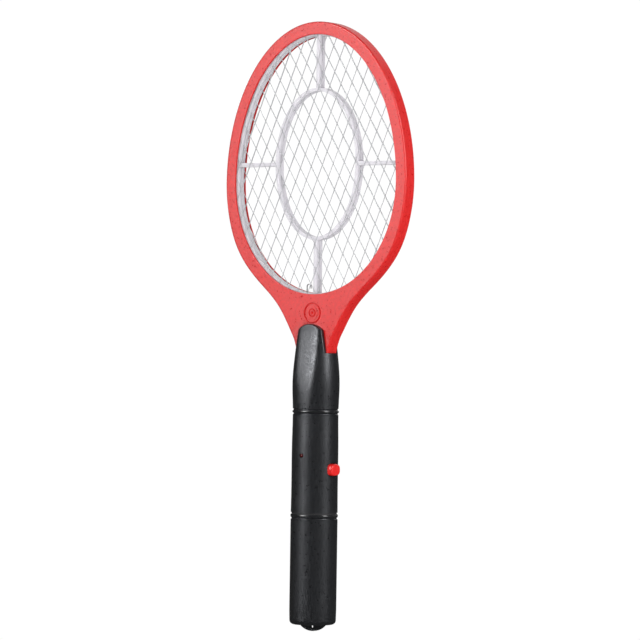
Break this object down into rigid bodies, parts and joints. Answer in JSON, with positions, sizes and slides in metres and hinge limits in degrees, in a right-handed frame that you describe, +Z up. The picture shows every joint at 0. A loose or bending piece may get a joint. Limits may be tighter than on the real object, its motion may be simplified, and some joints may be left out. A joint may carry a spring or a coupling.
{
  "type": "electric fly swatter",
  "caption": "Racket-shaped electric fly swatter with a netted oval head, a round handle, a side push button and a pull-off battery sleeve.",
  "frame": {"origin": "centre of the hanging hole in the tab at the handle's end", "axes": "+Z up the handle towards the head, -Y out of the front face, +X towards the push button"},
  "size_m": [0.161, 0.0341, 0.4419],
  "materials": {
    "red_plastic": "moulded, satin gloss",
    "white_plastic": "moulded, natural white",
    "net_wire": "bright drawn wire",
    "tinned_wire": "tinned, dull",
    "lead_red": "insulated lead",
    "lead_black": "insulated lead",
    "screw_steel": "zinc plated",
    "black_plastic": "fine moulded texture, satin",
    "inner_black": "moulded",
    "inner_white": "moulded",
    "lamp_red": "tinted clear resin",
    "capacitor_film": "dipped resin",
    "resistor_body": "lacquered",
    "capacitor_ceramic": "dipped resin",
    "ferrite": "sintered",
    "copper_wire": "enamelled winding",
    "board": "paper laminate",
    "contact_metal": "nickel plated spring steel",
    "cell_jacket": "printed sleeve, plain",
    "button_red": "moulded, satin gloss"
  },
  "bodies": {
    "racket": {"head_front_frame": "red_plastic", "head_back_frame": "red_plastic", "front_spacer": "white_plastic", "rear_spacer": "white_plastic", "front_net": "net_wire", "centre_grid": "net_wire", "back_net": "net_wire", "hv_hook": "tinned_wire", "hv_lead": "lead_red", "ground_lead": "lead_black", "throat_screws": "screw_steel", "handle_screws": "screw_steel", "handle_front_shell": "black_plastic", "handle_back_shell": "black_plastic", "switch_body": "inner_black", "indicator_led": "lamp_red", "film_capacitor": "capacitor_film", "transistor": "inner_black", "resistors": "resistor_body", "diodes": "inner_black", "ceramic_capacitors": "capacitor_ceramic", "transformer_core": "ferrite", "transformer_bobbin": "inner_black", "transformer_winding": "copper_wire", "circuit_board": "board", "battery_carrier": "inner_black", "contact_plates": "contact_metal", "contact_springs": "contact_metal", "bridge_plate": "contact_metal", "battery_leads": "lead_red", "battery_right": "cell_jacket", "battery_left": "cell_jacket"},
    "sleeve": {"battery_sleeve": "black_plastic"},
    "button": {"push_button": "button_red", "switch_plunger": "inner_white"}
  },
  "joints": [
    {"name": "button_press", "type": "slide", "parent": "racket", "child": "button", "axis": [-1, 0, 0], "range_m": [0, 0.0012], "stiffness_N_per_m": 1500, "springref_m": -0.0004},
    {"name": "sleeve_pull", "type": "slide", "parent": "racket", "child": "sleeve", "axis": [0, 0, -1], "range_m": [0, 0.075]}
  ]
}
